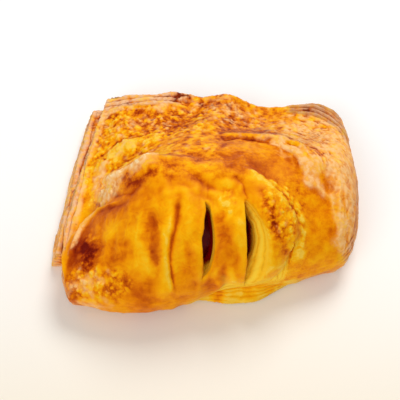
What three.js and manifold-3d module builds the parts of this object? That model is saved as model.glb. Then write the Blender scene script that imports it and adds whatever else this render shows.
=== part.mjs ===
// A fruit-filled croissant: a parcel of laminated dough folded over its filling, with a slit flap on top.
// Millimetres, +Z up. The parcel stands on z = 0 with its long side along X and its slit flap towards -Y.
import * as THREE from "three";
import { mergeVertices } from "three/addons/utils/BufferGeometryUtils.js";
import Module from "manifold-3d";

const wasm = await Module();
wasm.setup();

const { clamp, lerp, smoothstep } = THREE.MathUtils;

// Places on the parcel are a length place p, -1 at the left end to 1 at the right end, and a depth place v,
// -1 at the front rim over 0 at the crest to 1 at the back rim.

// Driving sizes of the folded parcel, before its flap
const CREST_HEIGHT = 40;
const LEFT_END_HEIGHT = 14;
const RIGHT_END_HEIGHT = 13;
const FRONT_RIM_HEIGHT = 9;
const BACK_RIM_HEIGHT = 16;
const CREST_PLACE = -0.08; // along the plan's depth, -1 at the front and 1 at the back
const CREST_LEFT_START = 0.22; // where the crest begins to fall towards the left end
const BELLY_POWER = 2.3; // 2 is a round belly, more is a squarer one
const RIGHT_END_POWER = 2.4;
const BACK_SLOPE_POWER = 0.9; // under 1 the back falls away sooner

// Plan of the parcel, and how much each of its corners is rounded off
const PLAN = {
  frontLeft: { x: -66.8, y: -56, round: 0.57 },
  frontRight: { x: 67, y: -35.5, round: 0.48 },
  backLeft: { x: -46, y: 55.2, round: 0.12 },
  backRight: { x: 65.5, y: 45.2, round: 0.18 },
};
const PLAN_HALF_LENGTH = (PLAN.frontRight.x - PLAN.frontLeft.x) / 2;

// How each side runs down to the table: reach is how far its foot stands out, ridge the depth of its layers
const SIDES = {
  left: { reach: 1.5, ridge: 0.5 },
  right: { reach: -5, ridge: 0.35 },
  front: { reach: -5, ridge: 0 },
  back: { reach: 3, ridge: 0.7 },
};
const SIDE_BLEND = 5; // how sharply one side gives way to the next at a corner
const SIDE_CURVE = 1.4;
const FRONT_SIDE_DEPTH = 0.3; // the front side, as a stretch of the depth place below the rim
const PARCEL_FOOT = 1; // the parcel's own foot is sunk in the base sheet
const FRONT_DRAW = { place: 0.05, width: 0.25, depth: 4.6 }; // where the front is drawn in below the slits
const FRONT_FOOT = { place: 0.2, width: 0.38, reach: 10.5 }; // and where its layered foot comes out again

// The base sheet that shows past the parcel along its left side
const BASE_THICKNESS = 9;
const BASE_FLARE = 3;
const BASE_RIDGE = 0.6;
const BASE_WAVE = { height: 0.3, length: 38 };
const BASE = {
  frontLeft: { x: -63.5, y: -27, round: 0.05 },
  frontRight: { x: 58, y: -16, round: 0.3 },
  backLeft: { x: -52, y: 50, round: 0.08 },
  backRight: { x: 60, y: 42, round: 0.3 },
};

// Slow lumps of the baked top, which die out towards its edges
const LUMPS = [
  { height: 0.9, lengthX: 50, lengthY: 57, turnX: 1.3, turnY: 0.4 },
  { height: 0.6, lengthX: 33, lengthY: 41, turnX: -0.7, turnY: 0.9 },
];
const LUMP_FADE = 6;

// Rounded swells and hollows of the top, along lines from x, y to x, y, which die out at the two ends
const SWELLS = [
  { name: "hump at the back", from: [3, 30], to: [11, 52], width: 8, height: 4.5 },
  { name: "roll at the right back", from: [44, 47], to: [62, 42], width: 6, height: 1.4 },
  { name: "roll along the right end", from: [58, 30], to: [58, -18], width: 5, height: 2.2 },
  { name: "hollow beside the hump", from: [28, 50], to: [24, 32], width: 8, height: -3.2 },
  { name: "hollow above the slits", from: [-12, -14], to: [22, -14], width: 3.5, height: -1.2 },
  { name: "shoulder at the left", from: [-44, 40], to: [-30, 22], width: 9, height: 2 },
  { name: "fold below the lip", from: [30, 16], to: [46, 2], width: 4, height: 2 },
];
const SWELL_FADE = 12;

// The flap that is folded over the filling, from the crest down to just under the front rim
const FLAP_THICKNESS = 4.6;
const FLAP_ROOT = -1; // how far the flap is sunk in the parcel
const FLAP_EDGE = 0.3; // how far its thinnest edge stands up
const FLAP_EDGE_ROUND = 0.4;
const FLAP_TOP = { depth: 0.06, fade: 0.14 }; // where it leaves the crest, and how soon it is full
const FLAP_FOOT = { depth: -1.22, start: 0.95, thinning: 0.45, rise: 0.2 }; // it rises over the layered foot
const FLAP_LEFT = { start: 0.55, spread: 0.37, curve: 1.5 }; // its left edge starts away from the left end
const FLAP_RIGHT = { start: 0.2, spread: 0.37, turn: 0.5, draw: 0.15 }; // its right edge swings out and in
const FLAP_RIGHT_FOOT = { across: 0.5, down: 0.7, thinning: 0.8 }; // and runs out into the parcel at its foot
const FLAP_ROLL = { height: 1.9, place: 0.86, width: 0.13, start: 0.2 }; // the roll along its right edge

// The raised upper left corner of the flap: a pleat that ends in a nose
const PLEAT = { place: -0.43, width: 0.25, end: -0.2, arch: 0.03, height: 2.2, rise: -0.15 };
const NOSE = { reach: 0.27, depth: 0.02, width: 0.06 };

// The slits: the left edge's place and how far it leans to the right on its way down, the opening at the top
// and at the bottom in mm, and the run down the flap
const SLITS = [
  { place: -0.245, lean: 0, mouth: 3.4, throat: 0.3, from: -0.26, to: -0.88, depth: 4 },
  { place: -0.064, lean: 0.01, mouth: 5.8, throat: 4.8, from: -0.23, to: -0.8, depth: 11 },
  { place: 0.217, lean: 0.07, mouth: 9.4, throat: 3, from: -0.25, to: -0.97, depth: 11 },
];
const SLIT_TIP = 0.3; // how wide a slit is at its tips
const SLIT_FULLNESS = 0.7; // under 1 a slit is fuller towards its tips
const SLIT_SLANT = 1.6; // how far a slit leans to the left on its way in
const SLIT_ABOVE = 9;
const STRIP_LIFT = { height: 1.1, left: 4.5, right: 2.5, start: 0.15, end: 0.2 }; // beside a slit's left edge

// The pocket under the flap, and the filling in it
const POCKET = { left: -0.62, right: 0.5, front: -0.8, back: 0.05 };
const POCKET_WALL = 2.4;
const POCKET_FLOOR = 10;
const POCKET_ROUND = 0.3;
const FILLING_GAP = 0.45;
const FILLING_SAG = 3; // air between the filling and the flap

// Leaves of dough with one raised edge, along a line of (p, v) places, each fading out over its reach
const LEAVES = [
  {
    name: "lip behind the crest",
    edge: [[0.0, 0.4], [0.2, 0.37], [0.4, 0.31], [0.58, 0.16]],
    reach: [0.04, 0.2],
    thickness: 2.8,
  },
  {
    name: "lip at the back",
    edge: [[-0.2, 0.98], [-0.3, 0.99], [-0.42, 0.98]],
    reach: [0, -0.1],
    thickness: 2.2,
  },
  {
    name: "layer at the left back",
    edge: [[-0.3, 0.86], [-0.6, 0.9], [-0.93, 0.86]],
    reach: [0, -0.16],
    thickness: 1.5,
  },
];
const LEAF_ROOT = -2;
const LEAF_SINK = 0.5; // how far under the skin a leaf ends
const LEAF_CURVE = 1.2;
const LEAF_TAPER = 0.7;
const LEAF_TIP = 0.06;

// How finely the surfaces are divided
const PARCEL_STEPS = [38, 30, 7];
const BASE_STEPS = [16, 14, 5];
const FLAP_STEPS = [36, 24, 1];
const SLIT_STEPS = [2, 14, 2];
const POCKET_STEPS = [12, 10, 2];
const LEAF_STEPS = [12, 4, 1];
const END_CROWDING = 0.6; // steps are closer together towards the ends
const FLAP_CROWDING = 0.75; // and the flap's rows towards its top
const SLIT_CROWDING = { strength: 0.5, start: 0.1 }; // and its columns towards the slits
const NORMAL_STEP = 0.01;

// A closed slab of dough: a finely divided box whose points are placed by a function of a, b, c from -1 to 1
function slab([columns, rows, layers], place) {
  const geometry = new THREE.BoxGeometry(2, 2, 2, columns, rows, layers);
  geometry.deleteAttribute("normal");
  geometry.deleteAttribute("uv");
  const merged = mergeVertices(geometry, 1e-4);
  const points = merged.getAttribute("position");
  for (let i = 0; i < points.count; i += 1) {
    const point = place(points.getX(i), points.getY(i), points.getZ(i));
    points.setXYZ(i, point.x, point.y, point.z);
  }
  return merged;
}

function toSolid(geometry) {
  const vertProperties = new Float32Array(geometry.getAttribute("position").array);
  const triVerts = new Uint32Array(geometry.index.array);
  return new wasm.Manifold(new wasm.Mesh({ numProp: 3, vertProperties, triVerts }));
}

function toMesh(name, solid, material) {
  const made = solid.getMesh();
  const geometry = new THREE.BufferGeometry();
  geometry.setAttribute("position", new THREE.BufferAttribute(new Float32Array(made.vertProperties), 3));
  geometry.setIndex(new THREE.BufferAttribute(new Uint32Array(made.triVerts), 1));
  geometry.computeVertexNormals();
  const mesh = new THREE.Mesh(geometry, material);
  mesh.name = name;
  return mesh;
}

// A rounded bump of height 1 about a place
function bump(at, place, width) {
  return Math.exp(-(((at - place) / width) ** 2));
}

// Steps from -1 to 1 that crowd a little towards both ends
function crowdEnds(a) {
  const turn = (Math.PI / 2) * END_CROWDING;
  return Math.sin(a * turn) / Math.sin(turn);
}

// Steps from 0 to 1 that crowd towards the slits
function crowdSlits(t) {
  const wave = (s) => Math.sin(2 * Math.PI * (s - SLIT_CROWDING.start));
  return t + (SLIT_CROWDING.strength / (2 * Math.PI)) * (wave(t) - wave(0));
}

// A point of a four-cornered plan with rounded corners, for places p and q from -1 to 1
function planPoint(plan, p, q) {
  const between = (key, across, along) =>
    lerp(
      lerp(plan.frontLeft[key], plan.frontRight[key], across),
      lerp(plan.backLeft[key], plan.backRight[key], across),
      along,
    );
  const round = between("round", (p + 1) / 2, (q + 1) / 2);
  const across = (p * Math.sqrt(1 - (round * q * q) / 2) + 1) / 2;
  const along = (q * Math.sqrt(1 - (round * p * p) / 2) + 1) / 2;
  return new THREE.Vector2(between("x", across, along), between("y", across, along));
}

// How much a place takes part in a change of the front, 1 in its middle at the rim
function atFront({ place, width }, p, q) {
  return bump(p, place, width) * Math.max(0, -q) ** 3;
}

// How each side of the parcel is mixed into a point near its edge
function sideMix(p, q) {
  const share = {
    left: Math.max(0, -p) ** SIDE_BLEND,
    right: Math.max(0, p) ** SIDE_BLEND,
    front: Math.max(0, -q) ** SIDE_BLEND,
    back: Math.max(0, q) ** SIDE_BLEND,
  };
  const names = Object.keys(SIDES);
  const total = names.reduce((sum, side) => sum + share[side], 1e-9);
  const mix = (key) => names.reduce((sum, side) => sum + (share[side] / total) * SIDES[side][key], 0);
  return { reach: mix("reach"), ridge: mix("ridge") };
}

function lump(x, y) {
  const wave = (at, length, turn) => Math.sin((2 * Math.PI * at) / length + turn);
  return LUMPS.reduce(
    (sum, { height, lengthX, lengthY, turnX, turnY }) =>
      sum + height * wave(x, lengthX, turnX) * wave(y, lengthY, turnY),
    0,
  );
}

function swell(x, y) {
  const point = new THREE.Vector3(x, y, 0);
  const nearest = new THREE.Vector3();
  return SWELLS.reduce((sum, { from, to, width, height }) => {
    const line = new THREE.Line3(new THREE.Vector3(...from, 0), new THREE.Vector3(...to, 0));
    const away = line.closestPointToPoint(point, true, nearest).distanceTo(point);
    return sum + height * bump(away, 0, width);
  }, 0);
}

// Height of the crest along the length
function crestHeight(p) {
  if (p < 0) return lerp(CREST_HEIGHT, LEFT_END_HEIGHT, smoothstep(-p, CREST_LEFT_START, 1));
  const fullness = (1 - p ** RIGHT_END_POWER) ** (1 / RIGHT_END_POWER);
  return lerp(RIGHT_END_HEIGHT, CREST_HEIGHT, fullness);
}

// The parcel's skin: a round belly in front of the crest and a long slope behind it
function skinPoint(p, v) {
  if (v < -1) return sidePoint(p, -1, 1 - (-1 - v) / FRONT_SIDE_DEPTH);
  const crest = crestHeight(p);
  const turn = (Math.max(-v, 0) * Math.PI) / 2;
  const slope = 0.5 + 0.5 * Math.cos(Math.PI * Math.max(v, 0) ** BACK_SLOPE_POWER);
  const rim = v < 0 ? Math.min(FRONT_RIM_HEIGHT, crest - 2) : Math.min(BACK_RIM_HEIGHT, crest - 1);
  const out = v < 0 ? Math.sin(turn) ** (2 / BELLY_POWER) : v;
  const up = v < 0 ? Math.max(0, Math.cos(turn)) ** (2 / BELLY_POWER) : slope;
  const q = lerp(CREST_PLACE, Math.sign(v), out);
  const plan = planPoint(PLAN, p, q);
  plan.y += FRONT_DRAW.depth * atFront(FRONT_DRAW, p, q);
  const lumps = (1 - p ** LUMP_FADE) * (1 - Math.abs(v) ** LUMP_FADE) * lump(plan.x, plan.y);
  const swells = (1 - p ** SWELL_FADE) * swell(plan.x, plan.y);
  return new THREE.Vector3(plan.x, plan.y, lerp(rim, crest, up) + lumps + swells);
}

// The parcel's side, from its foot (w = 0) to its rim (w = 1), with the layers of the dough as ridges
function sidePoint(p, v, w, row = 0) {
  const rim = skinPoint(p, v);
  const mix = sideMix(p, v);
  const out = new THREE.Vector2(rim.x, rim.y).normalize();
  const layer = row % 2 ? mix.ridge : -mix.ridge;
  const foot = mix.reach + FRONT_FOOT.reach * atFront(FRONT_FOOT, p, v);
  const reach = foot * (1 - w) ** SIDE_CURVE + (w > 0 && w < 1 ? layer : 0);
  return new THREE.Vector3(rim.x + out.x * reach, rim.y + out.y * reach, lerp(PARCEL_FOOT, rim.z, w));
}

// A point that stands off the skin by a lift, square to it
function liftedPoint(p, v, lift) {
  const left = skinPoint(Math.max(p - NORMAL_STEP, -1), v);
  const right = skinPoint(Math.min(p + NORMAL_STEP, 1), v);
  const front = skinPoint(p, v - NORMAL_STEP);
  const back = skinPoint(p, Math.min(v + NORMAL_STEP, 1));
  const normal = right.sub(left).cross(back.sub(front)).normalize();
  return skinPoint(p, v).addScaledVector(normal, lift);
}

// The folded parcel without its flap
function makeParcel() {
  const layers = PARCEL_STEPS[2];
  return toSolid(
    slab(PARCEL_STEPS, (a, b, c) => {
      const w = (c + 1) / 2;
      return sidePoint(crowdEnds(a), b, w, Math.round(w * layers));
    }),
  );
}

// The laminated base sheet, a little wider at its foot
function makeBase() {
  const layers = BASE_STEPS[2];
  return toSolid(
    slab(BASE_STEPS, (a, b, c) => {
      const w = (c + 1) / 2;
      const plan = planPoint(BASE, a, b);
      const out = plan.clone().normalize();
      const onEdge = Math.max(Math.abs(a), Math.abs(b)) > 0.999;
      const layer = Math.round(w * layers) % 2 ? BASE_RIDGE : -BASE_RIDGE;
      const along = plan.x + plan.y + w * BASE_WAVE.length;
      const wave = BASE_WAVE.height * Math.sin((2 * Math.PI * along) / BASE_WAVE.length);
      const inside = w > 0 && w < 1 ? layer + wave : 0;
      const reach = onEdge ? BASE_FLARE * (1 - w) + inside : 0;
      return new THREE.Vector3(plan.x + out.x * reach, plan.y + out.y * reach, BASE_THICKNESS * w);
    }),
  );
}

// The flap's left edge: a nose at the pleat, a notch, then a sweep out to the left end
function flapLeft(v) {
  const sweep = Math.max(0, 1 - Math.max(0, -v) / FLAP_LEFT.spread) ** FLAP_LEFT.curve;
  const nose = NOSE.reach * bump(v, NOSE.depth, NOSE.width);
  return Math.max(-1, -1 + FLAP_LEFT.start * sweep - nose);
}

function flapRight(v) {
  const down = Math.max(0, -v);
  const spread = Math.sin((Math.PI / 2) * Math.min(1, down / FLAP_RIGHT.turn));
  const draw = Math.max(0, (down - FLAP_RIGHT.turn) / (1 - FLAP_RIGHT.turn)) ** 2;
  return FLAP_RIGHT.start + FLAP_RIGHT.spread * spread - FLAP_RIGHT.draw * draw;
}

// The strips between the slits stand up along the left side of each slit
function stripLift(p, v) {
  return SLITS.reduce((sum, { place, lean, from, to }) => {
    const away = p - place - lean * clamp((v - from) / (to - from), 0, 1);
    const reach = away < 0 ? STRIP_LIFT.left : STRIP_LIFT.right;
    const beside = bump(away * PLAN_HALF_LENGTH, 0, reach);
    const starts = smoothstep(-v, -from, STRIP_LIFT.start - from);
    const ends = smoothstep(-v, -to - STRIP_LIFT.end, -to);
    return sum + STRIP_LIFT.height * beside * starts * (1 - ends);
  }, 0);
}

// How far the flap's outside stands off the skin, a running from -1 at its left edge to 1 at its right edge
function flapLift(a, p, v) {
  const pleat = 1 - smoothstep(p, PLEAT.place, PLEAT.end);
  const rise = lerp(smoothstep(-v, -FLAP_TOP.depth, FLAP_TOP.fade - FLAP_TOP.depth), 1, pleat);
  const foot = 1 - FLAP_FOOT.thinning * smoothstep(-v, FLAP_FOOT.start, -FLAP_FOOT.depth);
  const runsOut = smoothstep(a, FLAP_RIGHT_FOOT.across, 1) * smoothstep(-v, FLAP_RIGHT_FOOT.down, 1);
  const right = 1 - FLAP_RIGHT_FOOT.thinning * runsOut;
  const crown = PLEAT.height * pleat * smoothstep(v, PLEAT.rise, 0);
  const body = (FLAP_THICKNESS * rise * foot * right + crown) * (1 - FLAP_EDGE_ROUND * Math.abs(a) ** 8);
  const roll = FLAP_ROLL.height * bump(a, FLAP_ROLL.place, FLAP_ROLL.width);
  return FLAP_EDGE + body + roll * smoothstep(-v, 0, FLAP_ROLL.start) * right + stripLift(p, v);
}

function makeFlap() {
  return toSolid(
    slab(FLAP_STEPS, (a, b, c) => {
      const up = ((b + 1) / 2) ** FLAP_CROWDING;
      const level = lerp(FLAP_FOOT.depth, FLAP_TOP.depth, up);
      const p = lerp(flapLeft(level), flapRight(level), crowdSlits((a + 1) / 2));
      const arch = PLEAT.arch * bump(p, PLEAT.place, PLEAT.width) * up ** 6;
      const rise = FLAP_FOOT.rise * atFront(FRONT_FOOT, p, -1) * (1 - up) ** 4;
      const v = level + arch + rise;
      return liftedPoint(p, v, lerp(FLAP_ROOT, flapLift(a, p, v), (c + 1) / 2));
    }),
  );
}

// A leaf of dough on the skin with one raised edge
function makeLeaf({ edge, reach, thickness }) {
  const line = new THREE.SplineCurve(edge.map(([p, v]) => new THREE.Vector2(p, v)));
  return toSolid(
    slab(LEAF_STEPS, (a, b, c) => {
      const along = (a + 1) / 2;
      const far = (b + 1) / 2;
      const start = line.getPoint(along);
      const taper = Math.sin(Math.PI * lerp(LEAF_TIP, 1 - LEAF_TIP, along)) ** LEAF_TAPER;
      const crown = thickness * taper * (1 - far) ** LEAF_CURVE - LEAF_SINK * far;
      const lift = lerp(LEAF_ROOT, crown, (c + 1) / 2);
      return liftedPoint(start.x + reach[0] * far, start.y + reach[1] * far, lift);
    }),
  );
}

// A leaning cut through the flap, wide at its mouth and narrow at its throat
function makeSlit({ place, lean, mouth, throat, from, to, depth }) {
  return toSolid(
    slab(SLIT_STEPS, (a, b, c) => {
      const along = (b + 1) / 2;
      const inward = clamp(-c, 0, 1);
      const lift = c > 0 ? lerp(FLAP_THICKNESS, SLIT_ABOVE, c) : FLAP_THICKNESS - depth * inward;
      const width = SLIT_TIP + lerp(mouth, throat, inward) * Math.sin(Math.PI * along) ** SLIT_FULLNESS;
      const point = liftedPoint(place + lean * (1 - along), lerp(to, from, along), lift);
      point.x += (width * (a + 1)) / 2 - SLIT_SLANT * inward;
      return point;
    }),
  );
}

// The room of the pocket under the flap, taken in by a gap all round and let down by a sag at the top
function makePocket(gap, sag) {
  const shrink = gap / PLAN_HALF_LENGTH;
  return toSolid(
    slab(POCKET_STEPS, (a, b, c) => {
      const p = lerp(POCKET.left + shrink, POCKET.right - shrink, (a + 1) / 2);
      const v = lerp(POCKET.front + shrink, POCKET.back - shrink, (b + 1) / 2);
      const rounded = 1 - POCKET_ROUND * Math.max(Math.abs(a), Math.abs(b)) ** 4;
      const roof = liftedPoint(p, v, -POCKET_WALL);
      const top = lerp(POCKET_FLOOR, roof.z, rounded) - gap - sag;
      return new THREE.Vector3(roof.x, roof.y, lerp(POCKET_FLOOR + gap, top, (c + 1) / 2));
    }),
  );
}

const crust = new THREE.MeshStandardMaterial({ color: 0xd9902a, roughness: 0.45, metalness: 0 });
const fruit = new THREE.MeshStandardMaterial({ color: 0x5a1a10, roughness: 0.3, metalness: 0 });

function makePastry() {
  let dough = makeParcel().add(makeBase()).add(makeFlap());
  for (const leaf of LEAVES) dough = dough.add(makeLeaf(leaf));
  dough = dough.subtract(makePocket(0, 0));
  for (const slit of SLITS) dough = dough.subtract(makeSlit(slit));
  return toMesh("pastry", dough, crust);
}

function makeFilling() {
  return toMesh("filling", makePocket(FILLING_GAP, FILLING_SAG), fruit);
}

const croissant = new THREE.Group();
croissant.add(makePastry(), makeFilling());

// The origin is on the table, under the middle of the parcel
const box = new THREE.Box3().setFromObject(croissant);
const middle = box.getCenter(new THREE.Vector3());
croissant.position.set(-middle.x, -middle.y, -box.min.z);

export default croissant;
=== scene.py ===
# %% [markdown]
# # A fruit-filled croissant
# A sheet of laminated dough is folded over cooked fruit, slit three times, brushed with egg and baked.
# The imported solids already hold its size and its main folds. This lesson dresses them: it turns the
# plain dough into a blistered, flaky, unevenly browned crust, and the plain filling into moist fruit.

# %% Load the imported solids
import math
import random

import bmesh
import bpy
import numpy as np
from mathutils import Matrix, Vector, noise
from mathutils.bvhtree import BVHTree
from mathutils.kdtree import KDTree


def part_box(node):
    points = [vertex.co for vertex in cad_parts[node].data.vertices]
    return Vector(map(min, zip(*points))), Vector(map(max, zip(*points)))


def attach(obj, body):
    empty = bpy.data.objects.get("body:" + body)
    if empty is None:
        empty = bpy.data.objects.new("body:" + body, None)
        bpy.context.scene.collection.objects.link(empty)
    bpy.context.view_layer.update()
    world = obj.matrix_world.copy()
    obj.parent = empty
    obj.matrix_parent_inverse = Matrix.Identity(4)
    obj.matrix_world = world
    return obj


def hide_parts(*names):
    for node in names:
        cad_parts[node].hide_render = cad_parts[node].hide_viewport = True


MM = 0.001
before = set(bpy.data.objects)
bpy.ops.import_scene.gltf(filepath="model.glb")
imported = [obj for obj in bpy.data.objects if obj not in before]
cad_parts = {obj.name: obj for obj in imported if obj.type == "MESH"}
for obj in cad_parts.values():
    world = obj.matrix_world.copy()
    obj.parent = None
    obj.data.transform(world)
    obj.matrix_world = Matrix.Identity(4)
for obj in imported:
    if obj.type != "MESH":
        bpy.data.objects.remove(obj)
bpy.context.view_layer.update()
pastry_low, pastry_high = (np.array(corner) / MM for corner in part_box("pastry"))
filling_low, filling_high = (np.array(corner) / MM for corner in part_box("filling"))
print("dough from", pastry_low.round(1), "to", pastry_high.round(1), "mm")

# %% [markdown]
# ## Camera
# The croissant is looked at steeply from the front, so both the slit flap and the far edge show. A long
# lens from half a metre away keeps the near edge from swelling. An orthographic camera would be simpler,
# but the near edge does look a little larger than the far one.

# %% Camera
VIEW_ELEVATION = math.radians(58)
VIEW_DISTANCE = 424 * MM
VIEW_TARGET = Vector((-2.42, -6.13, 18)) * MM
VIEW_LENS = 90

toward_table = Vector((0, math.cos(VIEW_ELEVATION), -math.sin(VIEW_ELEVATION)))
camera_data = bpy.data.cameras.new("camera")
camera_data.lens = VIEW_LENS
camera_data.clip_start = 10 * MM
camera = bpy.data.objects.new("camera", camera_data)
camera.location = VIEW_TARGET - toward_table * VIEW_DISTANCE
camera.rotation_euler = toward_table.to_track_quat("-Z", "Y").to_euler()
bpy.context.collection.objects.link(camera)
bpy.context.scene.camera = camera
print("camera at", [round(value / MM) for value in camera.location], "mm")

# %% [markdown]
# ## Helpers for materials
# Every finish below is a small tree of nodes. One helper turns the familiar 0 to 255 colour values into
# the linear light that shaders work in, and one adds a node and either sets or links each of its inputs.
# The others wrap the few kinds of node in use, and find the tree by the socket that they are given.

# %% Colour and node helpers
def ink(red, green, blue):
    """A colour given as 0 to 255 screen values, as the linear colour that shaders take."""
    linear = []
    for value in (red, green, blue):
        part = value / 255
        linear.append(part / 12.92 if part < 0.04045 else ((part + 0.055) / 1.055) ** 2.4)
    return (*linear, 1)


def add_node(tree, kind, inputs, **settings):
    """A new node: its inputs are linked where the value is a socket, and set where it is not."""
    made = tree.nodes.new(kind)
    for name, value in settings.items():
        setattr(made, name, value)
    for name, value in inputs.items():
        if isinstance(value, bpy.types.NodeSocket):
            tree.links.new(value, made.inputs[name])
        else:
            made.inputs[name].default_value = value
    return made


def new_material(name):
    """A material, its tree of nodes, its main shader and the places on the piece."""
    material = bpy.data.materials.new(name)
    material.use_nodes = True
    tree = material.node_tree
    place = add_node(tree, "ShaderNodeTexCoord", {}).outputs["Object"]
    return material, tree, tree.nodes["Principled BSDF"], place


def stored(tree, name):
    """A number stored on a piece's points, as a socket."""
    return add_node(tree, "ShaderNodeAttribute", {}, attribute_name=name).outputs["Fac"]


def dress(piece, material):
    """Make a material the only one of a piece."""
    piece.data.materials.clear()
    piece.data.materials.append(material)


def mottle(place, scale, detail):
    """A noise pattern from 0 to 1, with scale in patches to the metre."""
    inputs = {"Vector": place, "Scale": scale, "Detail": detail, "Roughness": 0.55}
    return add_node(place.id_data, "ShaderNodeTexNoise", inputs).outputs[0]


def stretch(value, low, high, to_low=0.0, to_high=1.0):
    """A value moved from one range to another and kept inside it."""
    inputs = {"Value": value, "From Min": low, "From Max": high, "To Min": to_low, "To Max": to_high}
    made = add_node(value.id_data, "ShaderNodeMapRange", inputs, interpolation_type="SMOOTHSTEP")
    return made.outputs[0]


def calculate(operation, first, second):
    """Two values put together by arithmetic."""
    inputs = {0: first, 1: second}
    return add_node(first.id_data, "ShaderNodeMath", inputs, operation=operation).outputs[0]


def blend_colours(amount, under, over):
    """One colour laid over another."""
    inputs = {0: amount, 6: under, 7: over}
    return add_node(amount.id_data, "ShaderNodeMix", inputs, data_type="RGBA").outputs[2]


print("warm orange in linear light:", [round(value, 3) for value in ink(227, 137, 10)])

# %% [markdown]
# ## Table and light
# The croissant lies on a pale top, with painted shade making it cream toward the front. A wide soft lamp
# stands behind it and to the right, as a window would, so the shadow falls softly to the front. A second
# one lights the flap, and a bright even surrounding fills the shadow. A single small lamp would be
# quicker, but its hard shadow would hide the folds of the flap.

# %% Table
TABLE_HALF = 4.0
TABLE_DROP = 0.05 * MM

table_form = bmesh.new()
bmesh.ops.create_grid(table_form, x_segments=8, y_segments=8, size=TABLE_HALF)
bmesh.ops.translate(table_form, verts=table_form.verts, vec=(0, 0, -TABLE_DROP))
table_mesh = bpy.data.meshes.new("table")
table_form.to_mesh(table_mesh)
table_form.free()
table = bpy.data.objects.new("table", table_mesh)
bpy.context.collection.objects.link(table)

table_finish, tree, shader, place = new_material("pale table")
# The top is painted cream toward the front and white toward the back: painted shade of falling light.
from_front = add_node(tree, "ShaderNodeSeparateXYZ", {"Vector": place}).outputs["Y"]
cool = stretch(from_front, -0.18, 0.03)
shade = blend_colours(cool, ink(243, 230, 203), ink(251, 253, 255))
tree.links.new(shade, shader.inputs["Base Color"])
shader.inputs["Roughness"].default_value = 0.6
dress(table, table_finish)
print("table", 2 * TABLE_HALF, "m wide")

# %% Window light, front light and surroundings
FILL_STRENGTH = 0.44
LAMPS = [
    ("window", (0.24, 0.52, 0.68), 0.45, 4.7),
    ("front light", (-0.50, -0.80, 0.70), 0.90, 5.5),
]


def add_lamp(name, where, size, power):
    """A round soft lamp that points at the croissant."""
    data = bpy.data.lights.new(name, "AREA")
    data.shape = "DISK"
    data.size = size
    data.energy = power
    data.color = (1.0, 0.97, 0.93)
    lamp = bpy.data.objects.new(name, data)
    lamp.location = where
    lamp.rotation_euler = (VIEW_TARGET - Vector(where)).to_track_quat("-Z", "Y").to_euler()
    bpy.context.collection.objects.link(lamp)


for lamp_values in LAMPS:
    add_lamp(*lamp_values)
world = bpy.data.worlds.new("pale room")
world.use_nodes = True
surroundings = world.node_tree.nodes["Background"].inputs
surroundings["Color"].default_value = (1.0, 0.985, 0.965, 1)
surroundings["Strength"].default_value = FILL_STRENGTH
bpy.context.scene.world = world
bpy.context.scene.view_settings.view_transform = "Standard"
print(len(LAMPS), "lamps, fill", FILL_STRENGTH)

# %% [markdown]
# ## The skin of the dough
# A crust is one closed skin with folds, cuts and thousands of small bumps. It could be modelled fold by
# fold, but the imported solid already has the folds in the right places. So a copy of it is merged, turned
# into an even net of small squares by a voxel Remesh, and shaped further by moving that net's points.

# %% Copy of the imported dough
NET_SIZE = 0.4 * MM
SHARP_ANGLE = math.radians(38)
EDGE_STEP = 0.6


def merged_copy(node_name, piece_name):
    """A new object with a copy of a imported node's mesh, its loose triangles joined up."""
    form = bmesh.new()
    form.from_mesh(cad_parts[node_name].data)
    bmesh.ops.remove_doubles(form, verts=form.verts, dist=0.001 * MM)
    mesh = bpy.data.meshes.new(piece_name)
    form.to_mesh(mesh)
    form.free()
    piece = bpy.data.objects.new(piece_name, mesh)
    bpy.context.collection.objects.link(piece)
    return piece


def bake_modifiers(piece):
    """Make a piece's modifiers part of its mesh."""
    graph = bpy.context.evaluated_depsgraph_get()
    baked = bpy.data.meshes.new_from_object(piece.evaluated_get(graph))
    baked.name = piece.name
    piece.modifiers.clear()
    piece.data = baked


def fine_net(piece, size):
    """Turn a piece into an even closed net of squares."""
    remesh = piece.modifiers.new("net", "REMESH")
    remesh.mode = "VOXEL"
    remesh.voxel_size = size
    bake_modifiers(piece)


crust = merged_copy("pastry", "crust")
dough_tree = BVHTree.FromObject(crust, bpy.context.evaluated_depsgraph_get())
sharp_places = []
form = bmesh.new()
form.from_mesh(crust.data)
for edge in form.edges:
    if edge.calc_face_angle(0) > SHARP_ANGLE:
        start, end = (corner.co / MM for corner in edge.verts)
        steps = max(1, round((end - start).length / EDGE_STEP))
        sharp_places.extend(start.lerp(end, step / steps) for step in range(steps + 1))
form.free()
fine_net(crust, NET_SIZE)
print("net of", len(crust.data.vertices), "points,", len(sharp_places), "places on sharp edges")

# %% [markdown]
# The solid is faceted. Smoothing the whole net would round its facets away, but also its slits and lips.
# So each point gets a weight by how far it is from a sharp edge of the solid, and a Smooth modifier
# reads those weights: open skin becomes round, and cut edges stay crisp.

# %% Smooth the facets and keep the edges
SMOOTH_ROUNDS = 40
SMOOTH_FACTOR = 0.5
WEIGHT_STEPS = 10
EDGE_REACH = 2.2
EDGE_WEIGHT = 0.12


def read_points(piece, what):
    """One place or direction for each point of a piece."""
    flat = np.empty(len(piece.data.vertices) * 3)
    piece.data.vertices.foreach_get(what, flat)
    return flat.reshape(-1, 3)


def points_of(piece):
    """A piece's points, in millimetres."""
    return read_points(piece, "co") / MM


def normals_of(piece):
    """The directions in which a piece's points face."""
    return read_points(piece, "normal")


def move_points(piece, points):
    """Put a piece's points at new places, given in millimetres."""
    piece.data.vertices.foreach_set("co", (points * MM).ravel())
    piece.data.update()


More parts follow.
